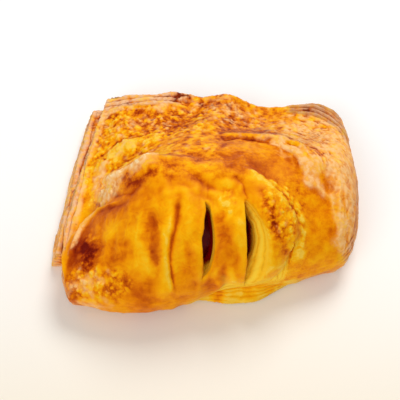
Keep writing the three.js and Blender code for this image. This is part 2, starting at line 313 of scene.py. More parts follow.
def smooth_by_weight(piece, name, weights, rounds):
    """Smooth a piece, each point as strongly as its weight from 0 to 1 says."""
    group = piece.vertex_groups.new(name=name)
    for step in range(1, WEIGHT_STEPS + 1):
        chosen = np.flatnonzero(np.round(weights * WEIGHT_STEPS) == step)
        group.add(chosen.tolist(), step / WEIGHT_STEPS, "REPLACE")
    smooth = piece.modifiers.new(name, "SMOOTH")
    smooth.factor = SMOOTH_FACTOR
    smooth.iterations = rounds
    smooth.vertex_group = group.name
    bake_modifiers(piece)


sharp = KDTree(len(sharp_places))
for index, spot in enumerate(sharp_places):
    sharp.insert(spot, index)
sharp.balance()
edge_gap = np.array([sharp.find(spot)[2] for spot in points_of(crust).tolist()])
smooth_by_weight(crust, "soft", np.clip(edge_gap / EDGE_REACH, EDGE_WEIGHT, 1), SMOOTH_ROUNDS)
print("smoothed", SMOOTH_ROUNDS, "rounds")

# %% [markdown]
# ## Measuring the skin
# To place a crease or a brown patch, the script must know where a point lies: near which fold, how deep
# in a slit, on a side wall or on top. These helpers measure that for all points at once with arrays.
# Places are given in millimetres as seen from above, with X to the right and Y away from the viewer.

# %% Distances and soft limits
def fade(value, low, high):
    """0 below low, 1 above high, and a smooth rise between them."""
    part = np.clip((value - low) / (high - low), 0, 1)
    return part * part * (3 - 2 * part)


def between(value, rise_from, rise_to, fall_from, fall_to):
    """1 between the two inner limits, falling softly to 0 at the outer ones."""
    return fade(value, rise_from, rise_to) * (1 - fade(value, fall_from, fall_to))


def bell(distance, width):
    """1 in the middle, falling softly to 0 at about twice the width."""
    return np.exp(-((distance / width) ** 2))


def beside_line(points, line):
    """Each point's distance from a line of (x, y) places, its side, and the way to the line's end."""
    plan = points[:, :2]
    gap = np.full(len(plan), np.inf)
    side = np.zeros(len(plan))
    travel = np.zeros(len(plan))
    passed = 0.0
    for first, last in zip(line, line[1:]):
        start = np.array(first, float)
        run = np.array(last, float) - start
        length = np.linalg.norm(run)
        away = plan - start
        along = np.clip(away @ run / length**2, 0, 1)
        here = np.linalg.norm(away - along[:, None] * run, axis=1)
        closer = here < gap
        gap = np.where(closer, here, gap)
        side = np.where(closer, np.sign(run[0] * away[:, 1] - run[1] * away[:, 0]), side)
        travel = np.where(closer, passed + along * length, travel)
        passed += length
    return gap, side, np.minimum(travel, passed - travel)


def near_line(points, line):
    """How far each point is from a line of (x, y) places, seen from above."""
    return beside_line(points, line)[0]


def near_spot(points, x, y, wide, deep):
    """How far each point is from a spot, where 1 is the edge of an oval of that half size."""
    return np.hypot((points[:, 0] - x) / wide, (points[:, 1] - y) / deep)


def ripple(points, size, seed):
    """Soft noise from about -1 to 1, with waves of about that size."""
    spots = (points / size + seed * 17.3).tolist()
    return np.array([noise.noise(spot) for spot in spots])


def waves(points, rows):
    """Soft noise of several sizes together, from rows of height, size and seed."""
    return sum(height * ripple(points, size, seed) for height, size, seed in rows)


print("a bell at its width is", round(float(bell(1.0, 1.0)), 2))

# %% [markdown]
# The slits are found by closing them. Rays dropped on the solid give its height, and filling every
# valley narrower than a fingertip gives the skin as it was before the knife. The drop from that closed
# skin to a point says how deep in a slit the point is.

# %% How deep in a slit
GRID_STEP = 0.5
SLIT_SPAN = 12.0
SLIT_ZONE_X = (-20, -18, 32, 34)
SLIT_ZONE_Y = (-56, -54, -13, -10)
SLIT_ZONE_Z = (9, 12)
DROP_FROM = 80.0
GRID_MARGIN = 8
POCKET_MARGIN = 2.0
POCKET_DEPTH = (6.5, 8)

grid_x = np.arange(pastry_low[0] - GRID_MARGIN, pastry_high[0] + GRID_MARGIN, GRID_STEP)
grid_y = np.arange(pastry_low[1] - GRID_MARGIN, pastry_high[1] + GRID_MARGIN, GRID_STEP)
heights = np.zeros((len(grid_y), len(grid_x)))
down = Vector((0, 0, -1))
for row, y in enumerate(grid_y):
    for column, x in enumerate(grid_x):
        hit = dough_tree.ray_cast(Vector((x, y, DROP_FROM)) * MM, down)[0]
        heights[row, column] = hit.z / MM if hit else 0
reach = round(SLIT_SPAN / GRID_STEP / 2)
shifts = range(-reach, reach + 1)
raised = np.max([np.roll(heights, shift, axis=1) for shift in shifts], axis=0)
closed = np.min([np.roll(raised, shift, axis=1) for shift in shifts], axis=0)
slope_y, slope_x = np.gradient(closed, GRID_STEP)
facing_up = 1 / np.sqrt(1 + slope_x**2 + slope_y**2)


def read_grid(grid, points):
    """The value of a grid at each point, seen from above."""
    across = np.clip((points[:, 0] - grid_x[0]) / GRID_STEP, 0, len(grid_x) - 1.001)
    away = np.clip((points[:, 1] - grid_y[0]) / GRID_STEP, 0, len(grid_y) - 1.001)
    column, row = across.astype(int), away.astype(int)
    part_x, part_y = across - column, away - row
    near = grid[row, column] * (1 - part_x) + grid[row, column + 1] * part_x
    far = grid[row + 1, column] * (1 - part_x) + grid[row + 1, column + 1] * part_x
    return near * (1 - part_y) + far * part_y


def slit_depth(points):
    """How deep each point is in a slit, square to the closed skin, and 0 away from the slits."""
    depth = (read_grid(closed, points) - points[:, 2]) * read_grid(facing_up, points)
    zone = between(points[:, 0], *SLIT_ZONE_X) * between(points[:, 1], *SLIT_ZONE_Y)
    zone *= fade(points[:, 2], *SLIT_ZONE_Z)
    return np.clip(depth, 0, None) * zone


def buried(points):
    """1 for points in the pocket under the flap, where nothing shows."""
    low, high = filling_low - POCKET_MARGIN, filling_high + POCKET_MARGIN
    inside = np.all((points > low) & (points < high), axis=1)
    return inside * fade(read_grid(closed, points) - points[:, 2], *POCKET_DEPTH)


print("highest closed skin", closed.max().round(1), "mm")

# %% [markdown]
# Some edges of the solid are not free edges on the baked one. The flap's right end melts into the dough
# beside it, and the first slit was cut so lightly that it has closed to a soft groove. Those places are
# first filled up to the closed skin and netted once more, which joins the walls that now touch. Then a
# second Smooth modifier with many rounds and a group of its own rubs them out, as a thumb would.

# %% Rub out the soft edges
FLAP_END = ((13, -5), (20, -8), (26, -12), (34, -18), (36.5, -24), (35.5, -31), (33, -36), (30, -44))
SLIT_ONE = ((-12, -22), (-13, -26), (-14, -32), (-14, -38), (-14, -44), (-12, -51))
NOSE_HOLLOW = ((-44, -5), (-41, -8), (-37, -13))
FLAP_TOP = ((-16, 2), (-11, 0), (-4, -4), (4, -5), (12, -4), (18, -5))
CREST_STEP = ((6, 15), (14, 17), (22, 16), (28, 13))
# Each row: the line, how far the rubbing reaches, and how far below the closed skin.
MELT_LINES = [
    (FLAP_END, 6, 5),
    (SLIT_ONE, 4.2, 9),
    (NOSE_HOLLOW, 3, 5),
    (FLAP_TOP, 4.5, 5),
    (CREST_STEP, 4, 5),
]
MELT_ROUNDS = 300
MELT_FLOOR = (9, 13)
MELT_TILT = (-0.5, -0.2)
FILLED_FROM = (0.2, 0.6)


def melting(piece):
    """A piece's points, how much each is rubbed out, and how far it is below the closed skin."""
    points = points_of(piece)
    below = np.clip(read_grid(closed, points) - points[:, 2], 0, None)
    amount = np.zeros(len(points))
    for line, reach, deepest in MELT_LINES:
        amount = np.maximum(amount, bell(near_line(points, line), reach) * (below < deepest))
    amount *= fade(points[:, 2], *MELT_FLOOR) * fade(normals_of(piece)[:, 2], *MELT_TILT)
    return points, amount, below


points, rubbed, below = melting(crust)
points[:, 2] += fade(rubbed, *FILLED_FROM) * below
move_points(crust, points)
fine_net(crust, NET_SIZE)
rubbed = melting(crust)[1]
smooth_by_weight(crust, "melt", rubbed, MELT_ROUNDS)
print("rubbed out", int((rubbed > 0.1).sum()), "points")

# %% [markdown]
# ## Soft grabs
# Some corners of the solid are tamer than real dough. The back lip curls up higher, the pleat's nose
# sticks out further, the flap's left edge lies further back and the back right corner is rounder. Points
# around such a place are moved together, and less and less with distance, as with a grab brush.

# %% Grab and pull
# Each row: the middle, the radius and the move.
GRABS = [
    ((-14, 50, 14), 9, (0, 0.8, 1.6)), ((-41, -1, 27), 6, (-1.4, 0.8, 0.8)),
    ((-50, -51, 8), 7, (0, 1.4, 0.3)), ((-40, -9, 23), 5, (0, 0, 6)),
    ((-38, -16, 27), 4, (0, 1.6, 0)), ((-44, -16.5, 22), 4.5, (-0.6, 2.8, 0)),
    ((-49, -19, 20), 4.5, (-1.2, 2.8, 0)), ((-53.5, -26, 18), 5, (-1.2, 2.2, 0)),
    ((50, 44, 15), 7, (0, 1, 1.4)), ((62, 41, 15), 5, (-1.2, -1.8, -0.4)),
]

points = points_of(crust)
for centre, radius, move in GRABS:
    gap = np.linalg.norm(points - np.array(centre), axis=1)
    points = points + bell(gap, radius)[:, None] * np.array(move)
points[:, 2] = np.maximum(points[:, 2], 0)
move_points(crust, points)
print("grabbed", len(GRABS), "places")

# %% [markdown]
# The right face of the last slit slumps to the left as it bakes and nearly shuts the slit at its lower
# end. Only points deep in that slit that face left are pulled over, and the deeper the further. The left
# lip of the middle slit leans over a little, which keeps that slit narrow.

# %% Slump the last slit and lean the lip
LAST_SLIT_X = (12, 16, 30, 33)
LAST_SLIT_DEPTH = (0.8, 5)
FACING_LEFT = (0.1, 0.4)
LAST_SLIT_PULL = 1.8
LOWER_END = (32, 42)
LOWER_END_PULL = 3.0
MIDDLE_LIP_X = -0.6
MIDDLE_LIP_WIDTH = 2.4
MIDDLE_LIP_Y = (-46, -41, -24, -20)
MIDDLE_LIP_Z = (14, 18)
MIDDLE_LIP_DEPTH = (5, 8)
MIDDLE_LIP_LEAN = 1.3

depth = slit_depth(points)
slump = between(points[:, 0], *LAST_SLIT_X)
slump *= fade(-normals_of(crust)[:, 0], *FACING_LEFT) * fade(depth, *LAST_SLIT_DEPTH)
close = LAST_SLIT_PULL + LOWER_END_PULL * fade(-points[:, 1], *LOWER_END)
points[:, 0] -= slump * close
lean = bell(points[:, 0] - MIDDLE_LIP_X, MIDDLE_LIP_WIDTH) * between(points[:, 1], *MIDDLE_LIP_Y)
lean *= fade(points[:, 2], *MIDDLE_LIP_Z) * (1 - fade(depth, *MIDDLE_LIP_DEPTH))
points[:, 0] += MIDDLE_LIP_LEAN * lean
move_points(crust, points)
print("slumped by up to", (slump * close).max().round(1), "mm")

# %% [markdown]
# ## Folds and lips
# Where dough laps over dough, its edge stands up as a lip, and beside it the skin dips. The larger folds
# are in the solid, and these lines add the smaller ones. A fold is the same on both sides: round if it
# rises, pointed if it dips. A lip rises slowly on one side and drops fast on the other.

# %% Lines of the folds
PLEAT_TOP = ((-42, -3), (-38.5, -2.7), (-32, -2), (-29, -1.8), (-26, -1), (-23, 0.6), (-20, 2.2))
CREST_LINE = ((-20, 3), (-11, 0), (-4, -6), (4, -6))
PLEAT_UNDER = ((-37, -12), (-34, -14), (-31, -15), (-27, -13))
YELLOW_SWATH = ((-29, -31), (-27, -36), (-25, -43), (-20, -49))
YELLOW_ROLL = ((-14, -25), (-14.5, -32), (-15.5, -38), (-16, -45), (-15, -50))
SOFT_GROOVE = ((-10.5, -21), (-11, -26), (-12, -32), (-13, -38), (-13.8, -44), (-12.5, -51))
GROOVE_FLANK = ((-8.5, -26), (-9.5, -32), (-10.5, -38), (-11, -45))
SWELL_BACK = ((-45, 18), (-39, 23), (-32, 25), (-25, 25))
SECOND_SWELL = ((-43, 13), (-38, 17), (-33, 19), (-27, 19), (-22, 20))
FLAP_CORNER = ((-45.4, -13.7), (-49.3, -16), (-52.3, -21.6), (-55, -28), (-56.6, -35))
FLAP_EDGE = ((-35, -16), (-40, -15.4), *FLAP_CORNER)
GROOVE_LEFT = ((-44.4, -16.2), (-48, -18.6), (-50.8, -23.4), (-53.3, -30), (-55, -37))
GROOVE = ((-34, -18.2), (-39, -17.5), *GROOVE_LEFT)
FLAP_RIM = ((-54, -31), (-56, -37), (-57, -43), (-56, -47), (-54, -50))
BUBBLY_RIDGE = ((18, -9), (24, -12), (30, -14), (34, -18), (37, -22), (38, -26), (39, -31), (37, -35))
BROWN_BAND = ((22, -18), (25, -24), (27, -29), (29, -34), (31, -37))
CREST_CREASE = ((8, 15.3), (12.8, 15.9), (16.6, 15.4), (20.8, 14.7), (26.5, 13))
BACK_LIP = ((27, 13.5), (31, 10.5), (35.5, 5), (39, 0), (41.2, -6), (41, -11))
RIGHT_FOLD = ((52, 11), (54, 2), (55, -5), (56, -13), (55, -23), (53, -31))
RIGHT_ARC = ((42, -8), (46, -10), (50.5, -14), (52.5, -20), (53.5, -25), (55, -32))
RIGHT_BACK_CREASE = ((44, 42), (51, 41), (54, 40), (57, 38))
CORNER_FOLD = ((34, 41.5), (41, 40), (48, 38.6), (53, 36), (57, 32), (59.5, 27), (61, 20))
LEFT_FOLD = ((-47, 47), (-49, 31), (-52, 15), (-53, 4), (-55, -9), (-58, -26))
STRIP_ONE = ((-6, -23), (-6, -34), (-5, -46))
STRIP_TWO = ((9, -22), (9, -34), (8, -45))
PLEAT_DARK = ((-31, -10.8), (-28.7, -10.2), (-25.5, -9.5), (-22, -8.5))
SMEAR = ((-21, -27), (-20, -32), (-21, -38), (-22, -43))
CREST_DIMPLE = ((-7, -8), (-4, -11), (-2, -14))
VALLEY = ((-18, -2), (-12, -8), (-14, -13))
SLIT_HEADS = [((0, -21), (1, -15)), ((16, -21), (15, -15), (12, -11))]
# Each row: the line, its width and its height.
FOLDS = [
    (CREST_LINE, 2.6, 0.6), (PLEAT_UNDER, 1.8, -1), (SECOND_SWELL, 3.4, 2), (SWELL_BACK, 1.8, -1),
    (GROOVE, 1.2, -0.4), (PLEAT_DARK, 1.6, -0.5), (YELLOW_ROLL, 2.4, 0.7), (BUBBLY_RIDGE, 2, 0.7),
    (BROWN_BAND, 2, -0.6), (CREST_CREASE, 1.1, -1.1), (RIGHT_FOLD, 3, 0.4), (STRIP_ONE, 3.2, 0.6),
    (STRIP_TWO, 3.4, 0.8), (SMEAR, 2.6, -0.5), (CREST_DIMPLE, 2, -0.9), (VALLEY, 2.4, -0.7),
    (SLIT_HEADS[0], 0.9, -0.7), (SLIT_HEADS[1], 1, -0.8),
]
LEFT_SIDE, RIGHT_SIDE = 1, -1
# Each row: the line, its steep side, the widths of the slow and the steep side, and the height.
LIPS = [
    (PLEAT_TOP, LEFT_SIDE, 2.2, 0.45, 1.4),
    (FLAP_EDGE, RIGHT_SIDE, 1, 0.45, 1.1),
    (BACK_LIP, RIGHT_SIDE, 5, 1.2, 1.5),
    (SOFT_GROOVE, RIGHT_SIDE, 0.9, 3.2, -1.9),
    (RIGHT_ARC, RIGHT_SIDE, 3, 1.2, 0.9),
    (LEFT_FOLD, RIGHT_SIDE, 2.4, 0.45, 0.9),
]
LIP_TAPER = 4.0
# Each row: x, y, radius and height.
BULGES = [
    (-15, -18, 3.4, 0.8), (-10, -17, 3.2, 0.7), (-4, -16, 3, 0.9), (1, -18, 2.6, 0.8),
    (8, -15, 3.4, 0.7), (14, -16, 3, 0.8), (-40, -4, 4, 0.7), (-34, 35, 4, 0.8), (-20, 28, 4, 0.8),
    (-5, 44, 3.6, 0.8),
]


def pulled_ripple(points, wide, long, seed):
    """Soft noise drawn out from front to back, as the flap was."""
    return ripple(points / np.array((wide, long, 9.0)), 1.0, seed)


def wander(points, reach, size, seed):
    """Points shifted a little to and fro, so that what is drawn from them is not ruled."""
    shift = np.zeros_like(points)
    shift[:, 0] = ripple(points, size, seed)
    shift[:, 1] = ripple(points, size, seed + 0.5)
    return points + reach * shift


print(len(FOLDS), "folds,", len(LIPS), "lips and", len(BULGES), "bulges")

# %% Raise the folds, lips and bulges
SKIN_DEPTH = (0.4, 1.5)
SKIN_FLOOR = (0.3, 2)
FLAP_BACK = (-16, -8)
FLAP_RIGHT = (24, 32)
BACK_FROM = (-6, 6)
SWELLS = ((0.4, 11, 3), (0.3, 5, 4), (0.08, 1.7, 5))
ROUND_FOLD = 1.3
ROUND_BULGE = 0.8

points = points_of(crust)
normals = normals_of(crust)
at_x, at_y, at_z = points.T
face_x, face_y, face_z = normals.T
hidden = buried(points)
skin = (1 - fade(depth, *SKIN_DEPTH)) * (1 - hidden) * fade(at_z, *SKIN_FLOOR)
on_flap = (1 - fade(at_y, *FLAP_BACK)) * (1 - fade(at_x, *FLAP_RIGHT))
at_back = fade(at_y, *BACK_FROM)
wandering = wander(points, 0.9, 5.0, 1)
strength = 0.9 + 0.5 * ripple(points, 7.0, 2)
lift = waves(points, SWELLS) + 0.12 * ripple(points, 1.1, 39) * at_back
lift += on_flap * (0.3 * pulled_ripple(points, 4.0, 14.0, 37) + 0.1 * ripple(points, 2.6, 38))
for line, width, height in FOLDS:
    gap = near_line(wandering, line)
    profile = bell(gap, ROUND_FOLD * width) if height > 0 else np.exp(-gap / width)
    lift += height * strength * profile
steady = wander(points, 0.5, 9.0, 36)
for line, steep_side, width, drop, height in LIPS:
    gap, side, to_end = beside_line(steady, line)
    slope = np.where(side == steep_side, drop, width)
    lift += height * strength * fade(to_end, 0, LIP_TAPER) * np.exp(-gap / slope)
for x, y, radius, height in BULGES:
    lift += height * bell(near_spot(wandering, x, y, radius, radius), ROUND_BULGE)
crust_lift = lift * skin
print("folds move the skin from", crust_lift.min().round(2), "to", crust_lift.max().round(2), "mm")

# %% [markdown]
# ## Blisters
# Steam lifts small domes in the crust, most of them where the dough was not stretched: at the back, on
# the band beside the last slit and low on the flap. A Voronoi pattern gives cells of uneven size, and
# about half of the cells rise as a dome. Along the ridge beside the last slit they stand in a row. Here
# and below, a zone or spot is an oval given by x, y, half width, half depth and amount.

# %% Blisters
BLISTER_ZONES = [
    (-36, 24, 18, 22, 1), (-14, 30, 20, 14, 0.9), (6, 38, 16, 10, 0.7), (34, 26, 24, 16, 0.35),
    (29, -24, 8, 13, 1), (-50, -44, 8, 7, 1), (-38, -48, 9, 5, 0.8), (14, 0, 14, 8, 0.4),
    (-42, -4, 8, 8, 1), (-38, 8, 10, 6, 0.6), (8, -21, 5, 6, 0.6), (-48, -32, 5, 7, 0.5),
]
BLISTER_BASE = 0.08
LEAST = 0.02
# Each row: the size of the cells, the share of them that rises, the height and the seed.
BLISTER_SIZES = ((3.2, 0.55, 0.5, 1), (2, 0.65, 0.45, 2), (1.2, 0.6, 0.3, 3))
DOME_REACH = 0.55
BEAD_SPACING = 1.3
BEAD_RADIUS = 1.3
BEAD_SPREAD = 1.7
BEAD_HEIGHT = 0.34


def zone_amount(points, zones, low=0.6, high=1.2):
    """The strongest of some oval zones at each point, fading at their edges."""
    amount = np.zeros(len(points))
    for x, y, wide, deep, most in zones:
        amount = np.maximum(amount, most * (1 - fade(near_spot(points, x, y, wide, deep), low, high)))
    return amount


def domes(points, size, share, seed):
    """Round bumps from 0 to 1 in a share of the cells of a Voronoi pattern."""
    heights = []
    for spot in (points / size + seed * 9.7).tolist():
        gaps, centres = noise.voronoi(spot)
        risen = noise.cell(centres[0] * 3.7) * 0.5 + 0.5
        dome = max(0.0, 1 - (gaps[0] / DOME_REACH) ** 2)
        heights.append(dome * min(1.0, max(0.0, (risen - 1 + share) * 4)))
    return np.array(heights)


def beads(points, line, seed):
    """A row of round bubbles along a line, from 0 to about 1."""
    draw = random.Random(seed)
    height = np.zeros(len(points))
    for start, end in zip(line, line[1:]):
        count = max(1, round(math.dist(start, end) / BEAD_SPACING))
        for step in range(count):
            part = (step + draw.random()) / count
            x = start[0] + part * (end[0] - start[0]) + draw.uniform(-BEAD_SPREAD, BEAD_SPREAD)
            y = start[1] + part * (end[1] - start[1]) + draw.uniform(-BEAD_SPREAD, BEAD_SPREAD)
            size = BEAD_RADIUS * draw.uniform(0.6, 1.3)
            gap = near_spot(points, x, y, size, size)
            height = np.maximum(height, size / BEAD_RADIUS * np.clip(1 - gap**2, 0, 1))
    return height


blistered = np.maximum(BLISTER_BASE, zone_amount(wandering, BLISTER_ZONES))
blistered *= skin * fade(face_z, 0.05, 0.35)
blister_height = np.zeros(len(points))
raised_points = np.flatnonzero(blistered > LEAST)
uneven = wander(points[raised_points], 0.45, 1.6, 31)
for size, share, height, seed in BLISTER_SIZES:
    blister_height[raised_points] += height * domes(uneven, size, share, seed)
blister_height *= blistered
blister_height += BEAD_HEIGHT * (skin * beads(wander(points, 0.5, 1.6, 33), BUBBLY_RIDGE, 34))
crust_lift += blister_height
print("blisters on", len(raised_points), "points, up to", blister_height.max().round(2), "mm")

# %% [markdown]
# ## Flakes and layers
# Laminated dough is a stack of leaves. On top, torn leaves leave long thin streaks that follow the way
# the dough was pulled, and low steps like a map's terraces. On the side walls and in the slits the cut
# edges of the leaves show as fine ridges. Noise stretched in one direction makes the streaks.

# %% Streaks and flakes on top
# Each row has an angle in degrees before the amount, or None for arcs around the flap.
STREAK_ZONES = [
    (44, 20, 22, 26, None, 1), (58, -12, 8, 26, None, 0.9), (-30, 47, 28, 7, 3, 1),
    (-58, 6, 7, 38, 80, 0.9), (16, 32, 18, 14, None, 0.8), (-30, -30, 26, 20, 84, 0.25),
    (0, -32, 22, 20, 88, 0.25), (-34, 12, 14, 8, 25, 0.5),
]
ARC_CENTRE = (8, -14)
ARC_RADIUS = 45.0
STREAK_LONG = 9.0
STREAK_WIDE = 2.0
STREAK_SHARP = 2.4
STREAK_HEIGHT = 0.28
FLAKE_ZONES = [
    (-44, 38, 14, 12, 1), (-8, 44, 30, 9, 0.8), (46, 20, 18, 24, 0.8), (-57, 8, 8, 24, 0.8),
    (57, -14, 7, 22, 0.6), (8, 30, 22, 12, 0.5), (-20, -34, 34, 18, 0.3),
]
FLAKE_SIZE = 9.0
FLAKE_LEVELS = 3.0
FLAKE_EDGE = (0.86, 1)
FLAKE_HEIGHT = 0.42
FLAKE_MIDDLE = 0.4


def drawn_ripple(points, angle, long, wide, seed):
    """Soft noise drawn out along a direction, or along arcs around the flap where there is no angle."""
    if angle is None:
        away = points[:, :2] - np.array(ARC_CENTRE)
        along = ARC_RADIUS * np.arctan2(away[:, 1], away[:, 0])
        across = np.linalg.norm(away, axis=1)
    else:
        turn = math.radians(angle)
        along = points[:, 0] * math.cos(turn) + points[:, 1] * math.sin(turn)
        across = points[:, 1] * math.cos(turn) - points[:, 0] * math.sin(turn)
    return ripple(np.column_stack((along / long, across / wide, points[:, 2] / 6)), 1.0, seed)


def terraces(points, seed):
    """Low steps with steep edges, from 0 to 1 in each step."""
    broken = 0.45 * ripple(points, FLAKE_SIZE * 0.4, seed + 1)
    rise = FLAKE_LEVELS * (ripple(points, FLAKE_SIZE, seed) + broken)
    part = rise - np.floor(rise)
    return part * (1 - fade(part, *FLAKE_EDGE))


streaked = np.zeros(len(points))
for x, y, wide, deep, angle, amount in STREAK_ZONES:
    zone = zone_amount(wandering, [(x, y, wide, deep, amount)])
    chosen = np.flatnonzero(zone > LEAST)
    drawn = np.abs(drawn_ripple(wandering[chosen], angle, STREAK_LONG, STREAK_WIDE, x))
    ridges = zone[chosen] * np.clip(1 - STREAK_SHARP * drawn, 0, 1)
    streaked[chosen] = np.maximum(streaked[chosen], ridges)
streaked *= skin
flaked = zone_amount(wandering, FLAKE_ZONES) * skin
crust_lift += STREAK_HEIGHT * streaked + FLAKE_HEIGHT * flaked * (terraces(points, 6) - FLAKE_MIDDLE)
print("streaks on", int((streaked > 0.1).sum()), "points, flakes on", int((flaked > 0.1).sum()))

# %% [markdown]
# The leaves are counted outward from a start: by height on a side wall, by distance from a fold on the
# strips at the left, at the back and around the back right corner, and by depth in a slit. The whole
# part of the count names the leaf, and the rest says where on its edge a point lies. That is enough to
# round every edge and let some jut.

# %% Which leaf a point belongs to
LAYER_PITCH = 1.9
STRIP_PITCH = 3.0
CORNER_PITCH = 1.9
CORNER_TAPER = 6.0
CUT_PITCH = 2.0
STEEP = (0.45, 0.8)
WALL_TOP = (16, 19)
WALL_FLOOR = (0.1, 0.8)
WALL_DEPTH = (0.4, 1.2)
FOOT_X = (-12, -4, 32, 40)
FOOT_FRONT = (34, 38)
FOOT_TOP = (8, 10.5)
FLAP_WALL_FRONT = (22, 34)
FLAP_WALL_RIGHT = (54, 62)
FLAP_WALL_FLOOR = (3, 6)
FOLD_EDGE = (-0.4, 0.6)
LEFT_STRIP_Y = (-34, -28)
BACK_STRIP_X = (-54, -50, -14, -6)
BACK_STRIP_Y = 44.0
BACK_STRIP_EDGE = (-0.4, 1)
CUT_DEPTH = (0.9, 2)
WAVER = ((1.1, 16, 8), (0.6, 5, 9), (0.2, 2, 7))

foot = between(at_x, *FOOT_X)
foot *= fade(-at_y, *FOOT_FRONT) * (1 - fade(at_z, *FOOT_TOP))
wall = 1 - fade(np.abs(face_z), *STEEP)
wall *= 1 - fade(at_z, *WALL_TOP)
flap_wall = fade(-at_y, *FLAP_WALL_FRONT) * (1 - fade(at_x, *FLAP_WALL_RIGHT))
wall *= 1 - 0.9 * (flap_wall * fade(at_z, *FLAP_WALL_FLOOR))
wall = np.maximum(wall, foot) * (1 - hidden) * fade(at_z, *WALL_FLOOR)
wall *= 1 - fade(depth, *WALL_DEPTH)
waver = waves(points, WAVER)
fold_y, fold_x = zip(*sorted((y, x) for x, y in LEFT_FOLD))
left_gap = np.interp(at_y, fold_y, fold_x) - at_x
back_gap = at_y - BACK_STRIP_Y
left_strip = fade(left_gap, *FOLD_EDGE) * fade(at_y, *LEFT_STRIP_Y) * (1 - wall)
back_strip = fade(back_gap, *BACK_STRIP_EDGE) * between(at_x, *BACK_STRIP_X) * (1 - wall)
gap, side, to_end = beside_line(points, CORNER_FOLD)
corner_gap = gap * side
corner_strip = fade(corner_gap, *FOLD_EDGE) * fade(to_end, 0, CORNER_TAPER) * (1 - wall)
strip = np.maximum(left_strip, back_strip)
strip_gap = np.where(left_strip > back_strip, left_gap, back_gap)
strip_gap = np.where(corner_strip > strip, corner_gap * STRIP_PITCH / CORNER_PITCH, strip_gap)
strip = np.maximum(strip, corner_strip) * skin
cut_face = fade(depth, *CUT_DEPTH) * (1 - hidden)
leaf_count = (at_z + waver) / LAYER_PITCH
leaf_count = np.where(strip > wall, (strip_gap + waver) / STRIP_PITCH, leaf_count)
leaf_count = np.where(depth > 0.2, (depth + 0.5 * waver) / CUT_PITCH, leaf_count)
print("walls on", int((wall > 0.1).sum()), "points, strips on", int((strip > 0.1).sum()))

# %% Raise the leaves
LAYER_HEIGHT = 0.5
LAYER_JUT = 0.6
STRIP_HEIGHT = 0.6
STRIP_JUT = 0.5
CUT_HEIGHT = 0.18

leaf = np.floor(leaf_count)
leaf_part = np.abs(leaf_count - leaf - 0.5) * 2
shelf = np.column_stack((at_x, at_y, leaf * 40))
jut = ripple(shelf, 9.0, 10)
edge = 0.5 - leaf_part**2
crust_lift += wall * (1 - 0.4 * foot) * (LAYER_HEIGHT * edge + LAYER_JUT * jut)
crust_lift += strip * (STRIP_HEIGHT * edge + STRIP_JUT * jut)
crust_lift += cut_face * CUT_HEIGHT * (edge + jut)

lifted = points + normals * crust_lift[:, None]
lifted[:, 2] = np.where(at_z < 0.3, at_z, np.maximum(lifted[:, 2], 0.05))
move_points(crust, lifted)
print("leaves from", int(leaf.min()), "to", int(leaf.max()))

# %% [markdown]
# A hollow keeps juice and egg wash and browns to a warm red, and it is also darkened as painted shade.
# A raised edge is made paler, partly dry dough and partly painted highlight. Averaging the net with itself
# fills hollows and lowers ridges, so the gap between a point and its average tells which of the two it is.
# Two sizes are measured: the grain of the crust, and its folds.

# %% Hollows and ridges
FINE_ROUNDS = 6
BROAD_ROUNDS = 60


def settle(values, ends, rounds):
    """Points averaged with their neighbours on the net, a number of times."""
    first, last = ends[:, 0], ends[:, 1]
    total = len(values)
    count = np.bincount(ends.ravel(), minlength=total)
    values = values.copy()
    for turn in range(rounds):
        for axis in range(3):
            here = values[:, axis]
            around = np.bincount(first, here[last], total) + np.bincount(last, here[first], total)
            values[:, axis] = around / count
    return values


ends = np.empty(len(crust.data.edges) * 2, np.int32)
crust.data.edges.foreach_get("vertices", ends)
ends = ends.reshape(-1, 2)
facing = normals_of(crust)
settled_fine = settle(lifted, ends, FINE_ROUNDS)
settled_broad = settle(settled_fine, ends, BROAD_ROUNDS)
hollow_fine = ((settled_fine - lifted) * facing).sum(axis=1)
hollow_broad = ((settled_broad - settled_fine) * facing).sum(axis=1)
print("hollows up to", hollow_fine.max().round(2), "and", hollow_broad.max().round(2), "mm")
